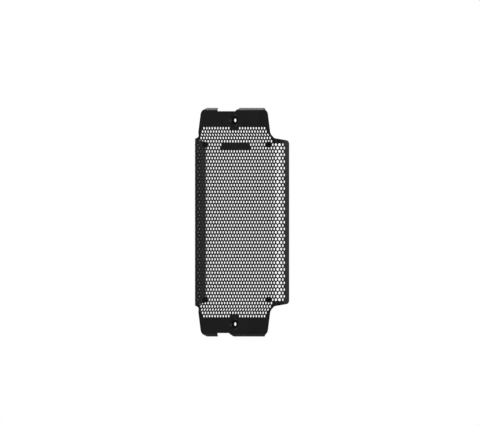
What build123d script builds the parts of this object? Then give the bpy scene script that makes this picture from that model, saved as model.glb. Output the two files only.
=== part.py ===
from build123d import *
from math import cos, hypot, radians, sin, sqrt, tan
import os

# Radiator guard for a motorcycle: one perforated sheet, folded, with four push-in rubber bump stops.
# Millimetres. +Z up, the front faces -Y, the wings fold back to +Y.
# The origin is midway between the two mounting holes, on the rear face of their seats.

# Sheet and its step levels, each measured at the front surface
sheet = 1.5
seat_depth = 2.45
step = 3.25
flange_front = -sheet - seat_depth
panel_front = flange_front + step
panel_back = panel_front + sheet

# Main panel, its side bends and wings
panel_flat = 182.0
bend_inner = 9.25
wing_right = 14.75
wing_left = 19.8
wing_lap = 8.0
shoulder_drop = 0.13
bend_drop = 0.12
wing_corner = 3.5

# Step to the flange, flange outline and lips
step_lead = 1.2
step_run = 7.2
neck_inset = 6.5
flange_lean = 10.2
lip_length = 6.0
lip_angle = 45.0
fold_radius = 2.5
neck_fillet = 8.0
corner_drop = 3.3
corner_fillet = 4.0
lip_chamfer = 10.5

# Gaps between the lips: depth below the fold, sides at the fold and how far each side slants
gap_left = -39.8
gap_left_slant = 4.6
gap_top_right = 3.0
gap_top_slant = 9.7
gap_top_depth = 1.35
gap_bottom_right = -11.5
gap_bottom_slant = 9.7
gap_bottom_depth = 1.55

# Mounting seats
mount_half = 170.2
mount_hole = 6.5
seat_outer = 21.5
seat_inner = 13.0
seat_to_fold = 16.6
seat_to_shoulder = 29.2

# Perforation: pointed-up hexagons in offset rows, coarser than the fine mesh and with the same open share.
# The columns are counted from the centre line to the middle of a side bend.
hex_columns = 4.5
hex_share = 0.77
hex_border = 3.0
plate_half = 36.0
plate_drop = 14.4

# Bump stops, pushed into small hexagons near the corners of the panel
stop_inset = 16.25
stop_drop = 11.5
stop_hole = 5.0
stop_fit = 0.05
stop_body = 4.85
stop_length = 6.2
stop_dome = 4.5
stop_dome_height = 1.2
stop_dome_edge = 0.8
stop_sides = 16

os.makedirs("parts", exist_ok=True)

half_flat = panel_flat / 2
bend_outer = bend_inner + sheet
bend_middle = bend_inner + sheet / 2
bend_arc = bend_middle * radians(90)
wing_plane = half_flat + bend_inner
bend_centre = panel_front + bend_outer
shoulder_z = mount_half - seat_to_shoulder
step_start = shoulder_z + step_lead
step_end = step_start + step_run
flange_end = mount_half + seat_to_fold
lip_top = flange_end + lip_length * cos(radians(lip_angle))
lip_back = flange_front + lip_length * sin(radians(lip_angle))
corner_z = flange_end - corner_drop
reach = shoulder_z + half_flat
hex_pitch = (half_flat + bend_arc / 2) / hex_columns
hex_flats = hex_pitch * hex_share
hex_corner = hex_flats / sqrt(3)
row_pitch = hex_pitch * sqrt(3) / 2
full_rows = int((shoulder_z - hex_corner - hex_border) / row_pitch)
stop_x = half_flat - stop_inset
stop_z = shoulder_z - stop_drop
plate_row = round((shoulder_z - plate_drop) / row_pitch)


def edge_at(z):
    # Half width of a flange, which narrows toward its lips.
    return half_flat - neck_inset - (z - step_end) * tan(radians(flange_lean))


def shoulder_at(x):
    # Height of the panel's shoulder, which falls outward from the neck.
    return shoulder_z - (x - edge_at(shoulder_z)) * bend_drop


def hexes():
    # Holes punched straight through the panel, the steps and the flanges, and those in the right-hand bend.
    straight = []
    bent = []
    last_row = full_rows + 2
    last_column = int(hex_columns) + 1
    for row in range(-last_row, last_row + 1):
        offset_row = 0.5 if row % 2 else 0.0
        z = row * row_pitch
        places = [(column + offset_row) * hex_pitch for column in range(-last_column - 1, last_column + 1)]
        if row == plate_row:
            # The holes of the plate's row start at the ends of the plate.
            beside = [plate_half + (column + 0.5) * hex_pitch for column in range(last_column)]
            places = beside + [-u for u in beside]
        for u in places:
            near_seat = hypot(u, abs(z) - mount_half) < seat_outer / 2 + hex_corner
            near_stop = hypot(abs(u) - stop_x, abs(z) - stop_z) < stop_body + hex_corner
            past_edge = abs(u) + hex_flats / 2 + hex_border > edge_at(abs(z) + hex_corner)
            if near_seat or near_stop:
                continue
            if abs(row) > full_rows:
                if not past_edge:
                    straight.append((u, z))
            elif abs(u) < half_flat:
                straight.append((u, z))
            elif half_flat < u < half_flat + bend_arc / 2 + hex_pitch * 0.75:
                bent.append((u, z))
    return straight, bent


def wing_section(depth):
    # Top view of a wing: a short lap on the panel, the round bend and the flat wing.
    start = half_flat - wing_lap
    end = bend_centre + depth
    with BuildSketch(Plane.XY.offset(-reach)) as section:
        with BuildLine():
            Line((start, panel_front), (half_flat, panel_front))
            RadiusArc((half_flat, panel_front), (wing_plane + sheet, bend_centre), -bend_outer)
            Line((wing_plane + sheet, bend_centre), (wing_plane + sheet, end))
            Line((wing_plane + sheet, end), (wing_plane, end))
            Line((wing_plane, end), (wing_plane, bend_centre))
            RadiusArc((wing_plane, bend_centre), (half_flat, panel_back), bend_inner)
            Line((half_flat, panel_back), (start, panel_back))
            Line((start, panel_back), (start, panel_front))
        make_face()
    return section.sketch


def wing(depth):
    # One wing to the right of the panel, with the hexagons of its bend and its flat punched square to the sheet.
    with BuildPart() as made:
        extrude(wing_section(depth), amount=2 * reach)
        for up in (-1, 1):
            pivot = (half_flat, panel_back, up * shoulder_at(half_flat))
            split(bisect_by=Plane(origin=pivot, z_dir=(bend_drop, shoulder_drop, up)), keep=Keep.BOTTOM)
        free_end = made.edges().group_by(Axis.Y)[-1]
        fillet(free_end.sort_by(SortBy.LENGTH)[:2], wing_corner)
        for u, z in bent:
            turn = min((u - half_flat) / bend_middle, radians(90))
            past = u - half_flat - turn * bend_middle
            x = half_flat + bend_middle * sin(turn)
            y = bend_centre - bend_middle * cos(turn) + past
            spot = Plane(origin=(x, y, z), x_dir=(cos(turn), sin(turn), 0), z_dir=(sin(turn), -cos(turn), 0))
            with BuildSketch(spot.offset(-hex_flats / 2)):
                RegularPolygon(hex_corner, 6, rotation=30)
            extrude(amount=hex_flats, mode=Mode.SUBTRACT)
    return made.part


straight, bent = hexes()
right = wing(wing_right)
left = mirror(wing(wing_left), about=Plane.YZ)

with BuildPart() as guard_sheet:
    # Panel, steps, flanges and lips share one side profile.
    with BuildSketch(Plane.YZ.offset(-half_flat)):
        with BuildLine() as profile:
            FilletPolyline(
                (lip_back, -lip_top),
                (flange_front, -flange_end),
                (flange_front, -step_end),
                (panel_front, -step_start),
                (panel_front, step_start),
                (flange_front, step_end),
                (flange_front, flange_end),
                (lip_back, lip_top),
                radius=fold_radius,
            )
            offset(amount=sheet, side=Side.RIGHT)
        make_face()
    extrude(amount=panel_flat)

    # Front outline of the blank, with the gaps that part the lips
    corner_x = edge_at(corner_z)
    neck_x = edge_at(shoulder_z)
    past_x = half_flat + neck_fillet
    past_z = shoulder_at(past_x)
    above = lip_top + sheet
    gap_top = flange_end - gap_top_depth
    gap_bottom = flange_end - gap_bottom_depth
    with BuildSketch(Plane.XZ.offset(-reach)) as outline:
        with BuildLine():
            Polyline(
                (past_x, -past_z),
                (past_x, past_z),
                (neck_x, shoulder_z),
                (corner_x, corner_z),
                (corner_x - lip_chamfer, above),
                (gap_top_right + gap_top_slant, above),
                (gap_top_right, gap_top),
                (gap_left, gap_top),
                (gap_left - gap_left_slant, above),
                (lip_chamfer - corner_x, above),
                (-corner_x, corner_z),
                (-neck_x, shoulder_z),
                (-past_x, past_z),
                (-past_x, -past_z),
                (-neck_x, -shoulder_z),
                (-corner_x, -corner_z),
                (lip_chamfer - corner_x, -above),
                (gap_left - gap_left_slant, -above),
                (gap_left, -gap_bottom),
                (gap_bottom_right, -gap_bottom),
                (gap_bottom_right + gap_bottom_slant, -above),
                (corner_x - lip_chamfer, -above),
                (corner_x, -corner_z),
                (neck_x, -shoulder_z),
                close=True,
            )
        make_face()
        necks = outline.vertices().filter_by(lambda v: abs(abs(v.X) - neck_x) < 0.01)
        fillet(necks, neck_fillet)
        corners = outline.vertices().filter_by(lambda v: abs(abs(v.Y) - corner_z) < 0.01)
        fillet(corners, corner_fillet)
    extrude(amount=2 * reach, mode=Mode.INTERSECT)

    # Mounting seats: the sheet pressed back in a shallow cone, then the hole
    slope = (seat_outer - seat_inner) / 2 / seat_depth
    spread = slope * (sheet * hypot(1, 1 / slope) - sheet)
    for z in (-mount_half, mount_half):
        with Locations(Location((0, flange_front + sheet, z), (-90, 0, 0))):
            Cone(
                seat_outer / 2 + spread,
                seat_inner / 2 + spread,
                seat_depth,
                align=(Align.CENTER, Align.CENTER, Align.MIN),
            )
        with Locations(Location((0, flange_front, z), (-90, 0, 0))):
            Cone(
                seat_outer / 2,
                seat_inner / 2,
                seat_depth,
                align=(Align.CENTER, Align.CENTER, Align.MIN),
                mode=Mode.SUBTRACT,
            )
            Cylinder(
                mount_hole / 2,
                reach,
                align=(Align.CENTER, Align.CENTER, Align.MIN),
                mode=Mode.SUBTRACT,
            )

    # Side bends and wings
    add(right)
    add(left)

    # Perforation of the panel, the steps and the flanges: keep what a punched block leaves
    with BuildSketch(Plane.XZ.offset(-reach)):
        Rectangle(2 * reach, 3 * flange_end)
        with Locations(*straight):
            RegularPolygon(hex_corner, 6, rotation=30, mode=Mode.SUBTRACT)
        with GridLocations(2 * stop_x, 2 * stop_z, 2, 2):
            RegularPolygon(stop_hole / sqrt(3), 6, rotation=30, mode=Mode.SUBTRACT)
    extrude(amount=2 * reach, mode=Mode.INTERSECT)

guard_sheet.part.label = "guard_sheet"
export_step(guard_sheet.part, "parts/guard_sheet.step")


# Bump stops: a rubber form of many flats, with a body behind, a stem in the sheet and a dome in front
for name, x, z in (
    ("bump_stop_top_left", -stop_x, stop_z),
    ("bump_stop_top_right", stop_x, stop_z),
    ("bump_stop_bottom_left", -stop_x, -stop_z),
    ("bump_stop_bottom_right", stop_x, -stop_z),
):
    with BuildPart() as stop:
        with BuildSketch(Plane.XZ.offset(-panel_back - stop_length)):
            with Locations((x, z)):
                RegularPolygon(stop_body, stop_sides)
        extrude(amount=stop_length)
        with BuildSketch(Plane.XZ.offset(-panel_back)):
            with Locations((x, z)):
                RegularPolygon(stop_hole / 2 - stop_fit, stop_sides)
        extrude(amount=sheet)
        with BuildSketch(Plane.XZ.offset(-panel_front)):
            with Locations((x, z)):
                RegularPolygon(stop_dome, stop_sides)
        extrude(amount=stop_dome_height)
        chamfer(stop.faces().sort_by(Axis.Y)[0].edges(), stop_dome_edge)
    stop.part.label = name
    export_step(stop.part, "parts/" + name + ".step")
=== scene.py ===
import bpy
from math import atan2, cos, pi, radians, sin, sqrt, tan
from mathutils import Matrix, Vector


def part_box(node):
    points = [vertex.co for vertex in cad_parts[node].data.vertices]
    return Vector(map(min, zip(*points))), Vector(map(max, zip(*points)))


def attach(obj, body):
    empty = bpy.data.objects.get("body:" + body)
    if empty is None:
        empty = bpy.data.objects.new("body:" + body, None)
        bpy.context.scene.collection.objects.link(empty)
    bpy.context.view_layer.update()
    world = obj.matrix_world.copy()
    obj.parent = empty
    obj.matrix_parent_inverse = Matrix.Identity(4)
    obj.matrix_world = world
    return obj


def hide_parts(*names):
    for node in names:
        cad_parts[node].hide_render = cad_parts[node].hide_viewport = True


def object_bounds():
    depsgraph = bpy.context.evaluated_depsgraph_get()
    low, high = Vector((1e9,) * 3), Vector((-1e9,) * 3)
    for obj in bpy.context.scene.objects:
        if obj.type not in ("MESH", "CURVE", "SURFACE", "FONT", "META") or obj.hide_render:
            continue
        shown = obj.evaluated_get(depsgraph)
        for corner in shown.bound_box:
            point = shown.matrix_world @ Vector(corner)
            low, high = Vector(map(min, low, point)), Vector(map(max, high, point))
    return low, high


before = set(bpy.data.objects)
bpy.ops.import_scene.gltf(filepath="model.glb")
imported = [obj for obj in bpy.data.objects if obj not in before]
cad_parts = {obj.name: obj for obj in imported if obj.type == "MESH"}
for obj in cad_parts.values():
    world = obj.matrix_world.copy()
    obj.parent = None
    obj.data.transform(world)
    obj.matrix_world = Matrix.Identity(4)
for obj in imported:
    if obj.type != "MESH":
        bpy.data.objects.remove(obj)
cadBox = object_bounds()
mm = 0.001
near = 0.1  # millimetres; closer than this counts as the same place
print("frame loaded", [round(v, 4) for corner in cadBox for v in corner])


def isNear(a, b):
    return abs(a - b) < near


def deselectAll():
    if bpy.context.object and bpy.context.object.mode != "OBJECT":
        bpy.ops.object.mode_set(mode="OBJECT")
    bpy.ops.object.select_all(action="DESELECT")


def activate(obj):
    deselectAll()
    obj.select_set(True)
    bpy.context.view_layer.objects.active = obj


def applyPlace():
    bpy.ops.object.transform_apply(location=True, rotation=True, scale=True)


def clearPicks(kind):
    # Nothing selected in the active mesh, so that points, edges or faces can be picked in object mode
    bpy.ops.object.mode_set(mode="EDIT")
    bpy.ops.mesh.select_mode(type=kind)
    bpy.ops.mesh.select_all(action="DESELECT")
    bpy.ops.object.mode_set(mode="OBJECT")


def pickVerts(obj, test):
    clearPicks("VERT")
    for v in obj.data.vertices:
        v.select = test(v.co)
    bpy.ops.object.mode_set(mode="EDIT")


def pickEdges(obj, test):
    clearPicks("EDGE")
    points = obj.data.vertices
    for e in obj.data.edges:
        e.select = test(points[e.vertices[0]].co, points[e.vertices[1]].co)
    bpy.ops.object.mode_set(mode="EDIT")


def faceOutwards():
    # From edit mode, and back to object mode
    bpy.ops.mesh.select_all(action="SELECT")
    bpy.ops.mesh.normals_make_consistent(inside=False)
    bpy.ops.object.mode_set(mode="OBJECT")


# Folded sheet, in millimetres and degrees; on the flat blank u runs round the bends and v runs up
sheet = {
    "thickness": 1.498,
    "panelMiddle": 0.05,
    "flangeStep": 3.25,
    "stepStart": 142.36,
    "stepEnd": 149.56,
    "foldRadius": 2.2,
    "bendStart": 91.0,
    "bendRadius": 10.0,
    "bendSteps": 6,
    "wingRight": 14.74,
    "wingLeft": 19.79,
    "shoulder": 141.0,
    "wingDropRight": 0.13,  # fall of the shoulder for each millimetre back
    "wingDropLeft": 0.165,
    "bendDrop": 0.12,  # and for each millimetre across
    "flangeHalf": 84.5,
    "flangeLean": 10.2,
    "cornerHeight": 183.5,
    "lipChamfer": 10.5,
    "fold": 186.49,
    "lipTop": 190.5,
    "lipTurn": 45.0,
    "lipRun": 100,  # more than any lip needs
    "blankReach": 230,  # more than half the blank's height
    "halvings": 40,
    "stepCuts": 3,
    "lipCuts": 5,
    "smooth": 25,
}

# Hexagon mesh: rows are counted from the middle row, and reaches in pitches from the centre line
holes = {
    "sides": 6,
    "pitch": 6.5,
    "flats": 4.4,
    "fullRows": 23,
    "fullReach": 17,
    "narrowReach": {24: 13, 25: 12.5, 26: 12, 27: 11.5, 28: 11},
    "seatRow": 28,
    "seatGap": 1,
    "plateRows": {23: 4.5, 22: 5},
    "rowPairs": 30,
    "weld": 0.02,
}
rowPitch = holes["pitch"] * sqrt(3) / 2
webEdge = holes["pitch"] / sqrt(3)


def rowShift(row):
    return 0.5 if row % 2 else 0


def isPunched(row, n):
    # Row is positive upward; n is in pitches from the centre line
    if abs(row) <= holes["fullRows"]:
        if abs(n) > holes["fullReach"] - rowShift(row):
            return False
        return not (row in holes["plateRows"] and abs(n) <= holes["plateRows"][row])
    if abs(n) > holes["narrowReach"].get(abs(row), -1):
        return False
    return not (abs(row) == holes["seatRow"] and abs(n) <= holes["seatGap"])


def makeMesh():
    # One hexagon cell, inset to leave its web, then repeated in rows
    deselectAll()
    bpy.ops.mesh.primitive_circle_add(
        vertices=holes["sides"],
        radius=webEdge * mm,
        fill_type="NGON",
        rotation=(radians(90), 0, 0),
    )
    cell = bpy.context.object
    applyPlace()
    bpy.ops.object.mode_set(mode="EDIT")
    bpy.ops.mesh.select_all(action="SELECT")
    bpy.ops.mesh.inset(thickness=(holes["pitch"] - holes["flats"]) / 2 * mm, depth=0)
    bpy.ops.mesh.delete(type="ONLY_FACE")
    bpy.ops.mesh.select_all(action="SELECT")
    bpy.ops.mesh.duplicate_move(
        TRANSFORM_OT_translate={"value": (holes["pitch"] / 2 * mm, 0, rowPitch * mm)}
    )
    bpy.ops.object.mode_set(mode="OBJECT")
    for label, count, step in (
        ("columns", 2 * holes["fullReach"] + 3, (holes["pitch"] * mm, 0, 0)),
        ("rows", holes["rowPairs"], (0, 0, 2 * rowPitch * mm)),
    ):
        array = cell.modifiers.new(label, "ARRAY")
        array.count = count
        array.use_relative_offset = False
        array.use_constant_offset = True
        array.constant_offset_displace = step
        bpy.ops.object.modifier_apply(modifier=label)
    # Bring the middle cell to the origin
    left = (holes["fullReach"] + 1) * holes["pitch"]
    down = holes["rowPairs"] * rowPitch
    bpy.ops.object.mode_set(mode="EDIT")
    bpy.ops.mesh.select_all(action="SELECT")
    bpy.ops.transform.translate(value=(-left * mm, 0, -down * mm))
    bpy.ops.object.mode_set(mode="OBJECT")
    return cell


def cellOf(co):
    # The cell that a point of the mesh belongs to: its row and its place along the row
    best = None
    base = round(co.z / mm / rowPitch)
    for row in (base - 1, base, base + 1):
        n = round(co.x / mm / holes["pitch"] - rowShift(row)) + rowShift(row)
        apart = (co.x / mm - n * holes["pitch"]) ** 2 + (co.z / mm - row * rowPitch) ** 2
        if best is None or apart < best[0]:
            best = (apart, row, n)
    return best[1], best[2]


punched = makeMesh()
punched.name = "guardMesh"
clearPicks("FACE")
for face in punched.data.polygons:
    face.select = not isPunched(*cellOf(face.center))
bpy.ops.object.mode_set(mode="EDIT")
bpy.ops.mesh.delete(type="FACE")
bpy.ops.mesh.select_all(action="SELECT")
bpy.ops.mesh.remove_doubles(threshold=holes["weld"] * mm)
bpy.ops.object.mode_set(mode="OBJECT")
print("mesh cells", len(punched.data.polygons) // holes["sides"])


# Side profile of the blank as a walk upward: straight runs and round folds, each with its length and turn
bendEnd = sheet["bendStart"] + sheet["bendRadius"] * pi / 2
bendLines = [
    sheet["bendStart"] + k * (bendEnd - sheet["bendStart"]) / sheet["bendSteps"]
    for k in range(sheet["bendSteps"] + 1)
]
stepRun = sheet["stepEnd"] - sheet["stepStart"]
stepTurn = atan2(sheet["flangeStep"], stepRun)
lipTurn = radians(sheet["lipTurn"])
stepNip = sheet["foldRadius"] * tan(stepTurn / 2)
lipNip = sheet["foldRadius"] * tan(lipTurn / 2)
profile = (
    (sheet["stepStart"] - stepNip, 0),
    (sheet["foldRadius"] * stepTurn, stepTurn),
    (stepRun / cos(stepTurn) - 2 * stepNip, 0),
    (sheet["foldRadius"] * stepTurn, -stepTurn),
    (sheet["fold"] - sheet["stepEnd"] - stepNip - lipNip, 0),
    (sheet["foldRadius"] * lipTurn, -lipTurn),
    (sheet["lipRun"], 0),
)


def walk(v):
    # Depth and height of the sheet's middle at a length v along the blank
    y, z, lean = 0, 0, 0
    for long, turn in profile:
        part = min(v, long)
        done = turn * part / long
        if turn:
            radius = long / turn
            y += radius * (cos(lean + done) - cos(lean))
            z += radius * (sin(lean + done) - sin(lean))
        else:
            y -= part * sin(lean)
            z += part * cos(lean)
        lean += done
        v -= part
        if v <= 0:
            break
    return y, z


def flatOf(z):
    # Length along the blank that ends up at height z, found by halving
    low, high = 0, sheet["blankReach"]
    for attempt in range(sheet["halvings"]):
        middle = (low + high) / 2
        if walk(middle)[1] < z:
            low = middle
        else:
            high = middle
    return low


def leanAt(z):
    # Half width of the flange, whose sides lean in
    return sheet["flangeHalf"] - (z - sheet["stepEnd"]) * tan(radians(sheet["flangeLean"]))


wingEnds = {1: bendEnd + sheet["wingRight"], -1: bendEnd + sheet["wingLeft"]}
wingDrops = {1: sheet["wingDropRight"], -1: sheet["wingDropLeft"]}
flangeCorner = leanAt(sheet["cornerHeight"])


def shoulderAt(u, side):
    # Height of the shoulder's edge, which falls as it goes round the bend and back along the wing
    turn = max(0, min((u - sheet["bendStart"]) / sheet["bendRadius"], pi / 2))
    across = min(u, sheet["bendStart"]) + sheet["bendRadius"] * sin(turn) - leanAt(sheet["shoulder"])
    deep = sheet["bendRadius"] * (1 - cos(turn)) + max(0, u - bendEnd)
    bendFall = sheet["bendDrop"] * across
    wingFall = wingDrops[side] * (deep - sheet["thickness"] / 2)
    return sheet["shoulder"] - bendFall - wingFall


# Gaps that part the lips, at the top and at the bottom
gap = {
    "left": -39.8,
    "leftSlant": 3.3,
    "top": 185.45,
    "topRight": 3.0,
    "topSlant": 6.9,
    "bottom": 185.25,
    "bottomRight": -11.5,
    "bottomSlant": 7.0,
}


def sideChain(side):
    # From the lip at the bottom to the lip at the top, along one side
    chain = []
    for up in (-1, 1):
        part = [
            (side * (flangeCorner - sheet["lipChamfer"]), up * flatOf(sheet["lipTop"])),
            (side * flangeCorner, up * flatOf(sheet["cornerHeight"])),
            (side * leanAt(sheet["shoulder"]), up * sheet["shoulder"]),
        ]
        part += [(side * u, up * shoulderAt(u, side)) for u in (*bendLines[1:], wingEnds[side])]
        chain += part if up < 0 else part[::-1]
    return chain


def drawOutline():
    loop = sideChain(1)
    loop += [
        (gap["topRight"] + gap["topSlant"], flatOf(sheet["lipTop"])),
        (gap["topRight"], flatOf(gap["top"])),
        (gap["left"], flatOf(gap["top"])),
        (gap["left"] - gap["leftSlant"], flatOf(sheet["lipTop"])),
    ]
    loop += sideChain(-1)[::-1]
    loop += [
        (gap["left"] - gap["leftSlant"], -flatOf(sheet["lipTop"])),
        (gap["left"], -flatOf(gap["bottom"])),
        (gap["bottomRight"], -flatOf(gap["bottom"])),
        (gap["bottomRight"] + gap["bottomSlant"], -flatOf(sheet["lipTop"])),
    ]
    # Start from one point at the first corner and pull it from corner to corner
    deselectAll()
    bpy.ops.mesh.primitive_plane_add(size=mm, location=(loop[0][0] * mm, 0, loop[0][1] * mm))
    applyPlace()
    bpy.ops.object.mode_set(mode="EDIT")
    bpy.ops.mesh.select_mode(type="VERT")
    bpy.ops.mesh.select_all(action="SELECT")
    bpy.ops.mesh.merge(type="CENTER")
    for (u, v), (nextU, nextV) in zip(loop, loop[1:]):
        pull = ((nextU - u) * mm, 0, (nextV - v) * mm)
        bpy.ops.mesh.extrude_vertices_move(TRANSFORM_OT_translate={"value": pull})
    bpy.ops.mesh.select_all(action="SELECT")
    bpy.ops.mesh.edge_face_add()
    bpy.ops.object.mode_set(mode="OBJECT")
    return bpy.context.object


# How far the rounding of each kind of corner reaches along the edges
rounding = {"shoulder": 7.0, "flange": 3.4, "wing": 5.5, "steps": 6}


def isShoulder(u, v):
    return isNear(abs(v), sheet["shoulder"]) and isNear(abs(u), leanAt(sheet["shoulder"]))


def isFlangeCorner(u, v):
    return isNear(abs(v), flatOf(sheet["cornerHeight"]))


def isWingCorner(u, v):
    return isNear(u, wingEnds[1]) or isNear(u, -wingEnds[-1])


blank = drawOutline()
activate(blank)
for kind, test in (("shoulder", isShoulder), ("flange", isFlangeCorner), ("wing", isWingCorner)):
    pickVerts(blank, lambda co: test(co.x / mm, co.z / mm))
    bpy.ops.mesh.bevel(
        affect="VERTICES",
        offset_type="OFFSET",
        offset=rounding[kind] * mm,
        segments=rounding["steps"],
    )
bpy.ops.mesh.select_all(action="SELECT")
bpy.ops.mesh.delete(type="ONLY_FACE")
bpy.ops.object.mode_set(mode="OBJECT")

# Seats for the screws: radii from the rim of the cone in to the hole, and how far back the floor lies
seat = {
    "height": 170.2,
    "outer": 10.75,
    # Ring on each seat's cone where the painted shade on the seat floor begins
    "shadeRing": 7.4,
    "inner": 6.5,
    "hole": 3.05,
    "depth": 2.45,
    "steps": 40,
    "near": 0.05,
}


def seatCentre(up):
    return Vector((0, 0, up * flatOf(seat["height"]) * mm))


# Rings of the seats, left open in the blank and pressed back later
rings = []
for up in (-1, 1):
    deselectAll()
    bpy.ops.mesh.primitive_circle_add(
        vertices=seat["steps"],
        radius=seat["outer"] * mm,
        fill_type="NOTHING",
        location=seatCentre(up),
        rotation=(radians(90), 0, 0),
    )
    applyPlace()
    rings.append(bpy.context.object)

deselectAll()
for obj in (punched, blank, *rings):
    obj.select_set(True)
bpy.context.view_layer.objects.active = punched
bpy.ops.object.join()

# Fill the plain border between the outline, the mesh and the seats
used = {}
for face in punched.data.polygons:
    for key in face.edge_keys:
        used[key] = used.get(key, 0) + 1
clearPicks("EDGE")
points = punched.data.vertices
for e in punched.data.edges:
    count = used.get(e.key, 0)
    long = (points[e.vertices[0]].co - points[e.vertices[1]].co).length / mm
    e.select = count == 0 or (count == 1 and isNear(long, webEdge))
bpy.ops.object.mode_set(mode="EDIT")
bpy.ops.mesh.fill(use_beauty=True)
faceOutwards()
print("blank filled", len(punched.data.polygons))


def isOnRing(co, centre):
    return abs((co - centre).length - seat["outer"] * mm) < seat["near"] * mm


# Press the seats back: the cone in two steps inward from each ring, then the floor
coneRun = seat["outer"] - seat["inner"]
for up in (-1, 1):
    centre = seatCentre(up)
    pickEdges(punched, lambda a, b: isOnRing(a, centre) and isOnRing(b, centre))
    radius = seat["outer"]
    for inward in (seat["shadeRing"], seat["inner"], seat["hole"]):
        back = seat["depth"] * (radius - max(inward, seat["inner"])) / coneRun
        scale = inward / radius
        bpy.ops.mesh.extrude_edges_move(TRANSFORM_OT_translate={"value": (0, back * mm, 0)})
        bpy.ops.transform.resize(value=(scale, 1, scale), center_override=centre)
        radius = inward
    bpy.ops.object.mode_set(mode="OBJECT")

# Score lines where the sheet folds, so that it bends there and nowhere else
scores = [((side * u * mm, 0, 0), (1, 0, 0)) for side in (-1, 1) for u in bendLines]
reached = 0
for long, turn in profile:
    if turn:
        cuts = sheet["lipCuts"] if abs(turn) == lipTurn else sheet["stepCuts"]
        heights = [reached + long * k / (cuts - 1) for k in range(cuts)]
        scores += [((0, 0, up * v * mm), (0, 0, 1)) for up in (-1, 1) for v in heights]
    reached += long
activate(punched)
bpy.ops.object.mode_set(mode="EDIT")
for place, way in scores:
    bpy.ops.mesh.select_all(action="SELECT")
    bpy.ops.mesh.bisect(plane_co=place, plane_no=way, threshold=holes["weld"] * mm)
bpy.ops.object.mode_set(mode="OBJECT")


def foldPoint(co):
    # Step the flanges forward, turn the lips back and roll the wings round their bends
    u, y, v = co.x / mm, co.y / mm, co.z / mm
    y += sheet["panelMiddle"]
    forward, z = walk(abs(v))
    y += forward
    z = z if v > 0 else -z
    side = 1 if u > 0 else -1
    run = abs(u) - sheet["bendStart"]
    x = abs(u)
    if run > 0:
        turn = min(run / sheet["bendRadius"], pi / 2)
        x = sheet["bendStart"] + sheet["bendRadius"] * sin(turn)
        y += sheet["bendRadius"] * (1 - cos(turn)) + max(0, abs(u) - bendEnd)
    return Vector((side * x * mm, y * mm, z * mm))


for v in punched.data.vertices:
    v.co = foldPoint(v.co)
activate(punched)
wall = punched.modifiers.new("wall", "SOLIDIFY")
wall.thickness = sheet["thickness"] * mm
wall.offset = 0
wall.use_even_offset = True
bpy.ops.object.modifier_apply(modifier="wall")
front = sheet["panelMiddle"] - sheet["flangeStep"] - sheet["thickness"] / 2
for v in punched.data.vertices:
    v.co.y = max(v.co.y, front * mm)  # corners of the fold keep to the front of the flange
bpy.ops.object.mode_set(mode="EDIT")
faceOutwards()
bpy.ops.object.shade_smooth_by_angle(angle=radians(sheet["smooth"]))
print("sheet folded", len(punched.data.polygons))

# Bump stops: body behind the sheet, stem through a hexagon, low dome in front
stopSizes = {
    "body": 4.85,
    "length": 6.2,
    "dome": 4.5,
    "domeHeight": 1.2,
    "domeSteps": ((0.45, 0.96), (0.35, 0.8), (0.2, 0.45)),  # shares of its height and radius
    "stem": 2.15,
    "front": -0.7,
    "back": 0.8,
    "round": 0.6,
    "roundSteps": 3,
    "steps": 32,
    "smooth": 35,
}


def makeStop():
    # One stop on the middle axis, to be copied to each place
    s = stopSizes
    rim = s["back"] + s["length"]
    deselectAll()
    bpy.ops.mesh.primitive_circle_add(
        vertices=s["steps"],
        radius=s["body"] * mm,
        fill_type="NGON",
        location=(0, rim * mm, 0),
        rotation=(radians(90), 0, 0),
    )
    stop = bpy.context.object
    applyPlace()
    bpy.ops.object.mode_set(mode="EDIT")
    bpy.ops.mesh.select_all(action="SELECT")
    radius = s["body"]
    for forward, wide in (
        (s["length"], s["body"]),
        (0, s["stem"]),
        (s["back"] - s["front"], s["stem"]),
        (0, s["dome"]),
        *((s["domeHeight"] * rise, s["dome"] * share) for rise, share in s["domeSteps"]),
    ):
        scale = wide / radius
        bpy.ops.mesh.extrude_region_move(TRANSFORM_OT_translate={"value": (0, -forward * mm, 0)})
        bpy.ops.transform.resize(value=(scale, 1, scale), center_override=(0, 0, 0))
        radius = wide
    bpy.ops.object.mode_set(mode="OBJECT")
    pickEdges(stop, lambda a, b: isNear(a.y / mm, rim) and isNear(b.y / mm, rim))
    bpy.ops.mesh.bevel(offset=s["round"] * mm, segments=s["roundSteps"], affect="EDGES")
    faceOutwards()
    bpy.ops.object.shade_smooth_by_angle(angle=radians(s["smooth"]))
    return stop


firstStop = makeStop()
stops = []
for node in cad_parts:
    if node.startswith("bump_stop"):
        low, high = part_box(node)
        activate(firstStop)
        bpy.ops.object.duplicate()
        stop = bpy.context.object
        stop.name = node.replace("bump_stop", "rubberStop")
        stop.location = ((low[0] + high[0]) / 2, 0, (low[2] + high[2]) / 2)
        applyPlace()
        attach(stop, "root")
        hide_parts(node)
        stops.append(stop)
activate(firstStop)
bpy.ops.object.delete()
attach(punched, "root")
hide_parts("guard_sheet")
print("stops made", len(stops))

# Finishes: the coat, a darker and duller copy of it that paints shade on the floor of each pressed seat,
# and the rubber of the stops
coat = {
    "dark": (0.003, 0.003, 0.0032, 1),
    "light": (0.006, 0.006, 0.0064, 1),
    "grain": 700,
    "roughLow": 0.22,
    "roughHigh": 0.32,
    "bump": 0.08,
    "specular": 0.07,
}
# Painted shade: a darker, less glossy copy of the coat, standing in for the shade in the recess of each
# seat
seatShade = {
    "dark": (0.0012, 0.0012, 0.0012, 1),
    "light": (0.0024, 0.0024, 0.0025, 1),
    "grain": 900,
    "roughLow": 0.4,
    "roughHigh": 0.55,
    "bump": 0.08,
    "specular": 0.022,
}
rubber = {
    "dark": (0.003, 0.003, 0.003, 1),
    "light": (0.006, 0.006, 0.006, 1),
    "grain": 1400,
    "roughLow": 0.65,
    "roughHigh": 0.8,
    "bump": 0.15,
    "specular": 0.05,
}

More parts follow.
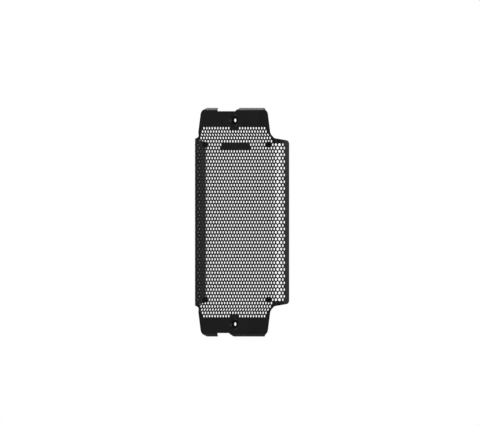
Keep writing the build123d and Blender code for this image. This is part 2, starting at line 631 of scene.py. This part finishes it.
# What the finishes share: broad clouds of colour and a fine grain
pattern = {
    "cloud": 28,
    "cloudDetail": 6,
    "grainDetail": 3,
    "darkAt": 0.3,
    "lightAt": 0.7,
    "bumpHeight": 0.0002,
}


def makeFinish(name, look):
    finish = bpy.data.materials.new(name)
    finish.use_nodes = True
    nodes = finish.node_tree.nodes
    links = finish.node_tree.links
    shader = nodes["Principled BSDF"]
    shader.inputs["Specular IOR Level"].default_value = look["specular"]
    place = nodes.new("ShaderNodeTexCoord")
    cloud = nodes.new("ShaderNodeTexNoise")
    cloud.inputs["Scale"].default_value = pattern["cloud"]
    cloud.inputs["Detail"].default_value = pattern["cloudDetail"]
    grain = nodes.new("ShaderNodeTexNoise")
    grain.inputs["Scale"].default_value = look["grain"]
    grain.inputs["Detail"].default_value = pattern["grainDetail"]
    tint = nodes.new("ShaderNodeValToRGB")
    tint.color_ramp.elements[0].position = pattern["darkAt"]
    tint.color_ramp.elements[0].color = look["dark"]
    tint.color_ramp.elements[1].position = pattern["lightAt"]
    tint.color_ramp.elements[1].color = look["light"]
    gloss = nodes.new("ShaderNodeMapRange")
    gloss.inputs["To Min"].default_value = look["roughLow"]
    gloss.inputs["To Max"].default_value = look["roughHigh"]
    peel = nodes.new("ShaderNodeBump")
    peel.inputs["Strength"].default_value = look["bump"]
    peel.inputs["Distance"].default_value = pattern["bumpHeight"]
    links.new(place.outputs["Object"], cloud.inputs["Vector"])
    links.new(place.outputs["Object"], grain.inputs["Vector"])
    links.new(cloud.outputs["Fac"], tint.inputs["Fac"])
    links.new(tint.outputs["Color"], shader.inputs["Base Color"])
    links.new(grain.outputs["Fac"], gloss.inputs["Value"])
    links.new(gloss.outputs["Result"], shader.inputs["Roughness"])
    links.new(grain.outputs["Fac"], peel.inputs["Height"])
    links.new(peel.outputs["Normal"], shader.inputs["Normal"])
    return finish


# Faces near each seat's hole, inside the ring where its painted shade begins
def isSeatShade(co):
    return Vector((co.x, abs(co.z) - seat["height"] * mm)).length < seat["shadeRing"] * mm


coatFinish = makeFinish("satinBlackCoat", coat)
seatShadeFinish = makeFinish("seatShadeCoat", seatShade)
rubberFinish = makeFinish("bufferRubber", rubber)
punched.data.materials.clear()
punched.data.materials.append(coatFinish)
punched.data.materials.append(seatShadeFinish)
# The seat floors get the coat with painted shade, the rest get the plain coat
for face in punched.data.polygons:
    face.material_index = 1 if isSeatShade(face.center) else 0
for stop in stops:
    stop.data.materials.clear()
    stop.data.materials.append(rubberFinish)
for name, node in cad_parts.items():
    node.data.materials.clear()
    node.data.materials.append(rubberFinish if name.startswith("bump_stop") else coatFinish)
print("finishes set")


def strongest(tree, first, second):
    pick = tree.nodes.new("ShaderNodeMath")
    pick.operation = "MAXIMUM"
    tree.links.new(first, pick.inputs[0])
    tree.links.new(second, pick.inputs[1])
    return pick.outputs[0]


def roomRays(tree):
    # Rays that see the white room directly or through glass, and rays that mirror it
    rays = tree.nodes.new("ShaderNodeLightPath").outputs
    return strongest(tree, rays["Is Camera Ray"], rays["Is Transmission Ray"]), rays["Is Glossy Ray"]


# Pale floor under the lowest lip: half white where it is seen, to keep soft shadows, and white in mirrors
ground = {"size": 6, "gap": 0.001, "colour": (0.86, 0.86, 0.86, 1), "rough": 0.9, "whiteSeen": 0.5}
deselectAll()
bpy.ops.mesh.primitive_plane_add(size=ground["size"], location=(0, 0, cadBox[0][2] - ground["gap"]))
floor = bpy.context.object
floor.name = "paleFloor"
floorFinish = bpy.data.materials.new("paleFloor")
floorFinish.use_nodes = True
tree = floorFinish.node_tree
floorShader = tree.nodes["Principled BSDF"]
floorShader.inputs["Base Color"].default_value = ground["colour"]
floorShader.inputs["Roughness"].default_value = ground["rough"]
white = tree.nodes.new("ShaderNodeEmission")
blend = tree.nodes.new("ShaderNodeMixShader")
share = tree.nodes.new("ShaderNodeMath")
share.operation = "MULTIPLY"
share.inputs[1].default_value = ground["whiteSeen"]
seen, mirrored = roomRays(tree)
tree.links.new(seen, share.inputs[0])
tree.links.new(strongest(tree, share.outputs[0], mirrored), blend.inputs["Fac"])
tree.links.new(floorShader.outputs["BSDF"], blend.inputs[1])
tree.links.new(white.outputs["Emission"], blend.inputs[2])
tree.links.new(blend.outputs["Shader"], tree.nodes["Material Output"].inputs["Surface"])
floor.data.materials.append(floorFinish)

# White backdrop for what is seen or mirrored, and plain grey light for the rest
room = {"colour": (1, 1, 1, 1), "white": 1.0, "plain": 0.65}
backdrop = bpy.data.worlds.new("whiteRoom")
bpy.context.scene.world = backdrop
backdrop.use_nodes = True
tree = backdrop.node_tree
level = tree.nodes.new("ShaderNodeMapRange")
level.inputs["To Min"].default_value = room["plain"]
level.inputs["To Max"].default_value = room["white"]
tree.links.new(strongest(tree, *roomRays(tree)), level.inputs["Value"])
tree.links.new(level.outputs["Result"], tree.nodes["Background"].inputs["Strength"])
tree.nodes["Background"].inputs["Color"].default_value = room["colour"]

# Soft boxes: one high on the left for the top lips, and four far off for the wings, bends and seats
lamps = (
    {"name": "topBox", "at": (-0.95, 0.16, 1.0), "size": (0.45, 0.45), "power": 7.4},
    {"name": "sideBox", "at": (1.46, 1.79, 0.15), "size": (0.8, 1.3), "power": 14},
    {"name": "rightBox", "at": (2.3, 0.16, 0.2), "size": (0.65, 1.6), "power": 10},
    {"name": "frontBox", "at": (0.6, -2.25, 0.15), "size": (0.55, 1.1), "power": 14},
    {"name": "leftBox", "at": (-2.3, -0.16, 0.2), "size": (0.6, 1.2), "power": 6},
)
for lamp in lamps:
    deselectAll()
    bpy.ops.object.light_add(type="AREA", location=lamp["at"])
    box = bpy.context.object
    box.name = lamp["name"]
    box.data.shape = "RECTANGLE"
    box.data.size, box.data.size_y = lamp["size"]
    box.data.energy = lamp["power"]
    box.rotation_euler = Vector(lamp["at"]).to_track_quat("Z", "Y").to_euler()
print("floor, backdrop and lamps set", len(lamps))

# Camera at the front right, level, with no perspective; right and up shift its aim, in millimetres
view = {"turn": 45, "pixels": 480, "perMetre": 598.7, "right": 7.27, "up": 16.18, "distance": 2.5}
turn = radians(view["turn"])
rightWay = Vector((cos(turn), sin(turn), 0))
backWay = Vector((sin(turn), -cos(turn), 0))
target = rightWay * view["right"] * mm + Vector((0, sheet["panelMiddle"] * mm, view["up"] * mm))
camera = bpy.data.objects.new("camera", bpy.data.cameras.new("camera"))
bpy.context.collection.objects.link(camera)
camera.data.type = "ORTHO"
camera.data.ortho_scale = view["pixels"] / view["perMetre"]
camera.location = target + backWay * view["distance"]
camera.rotation_euler = (radians(90), 0, turn)
bpy.context.scene.camera = camera
bpy.context.scene.view_settings.view_transform = "Standard"

deselectAll()
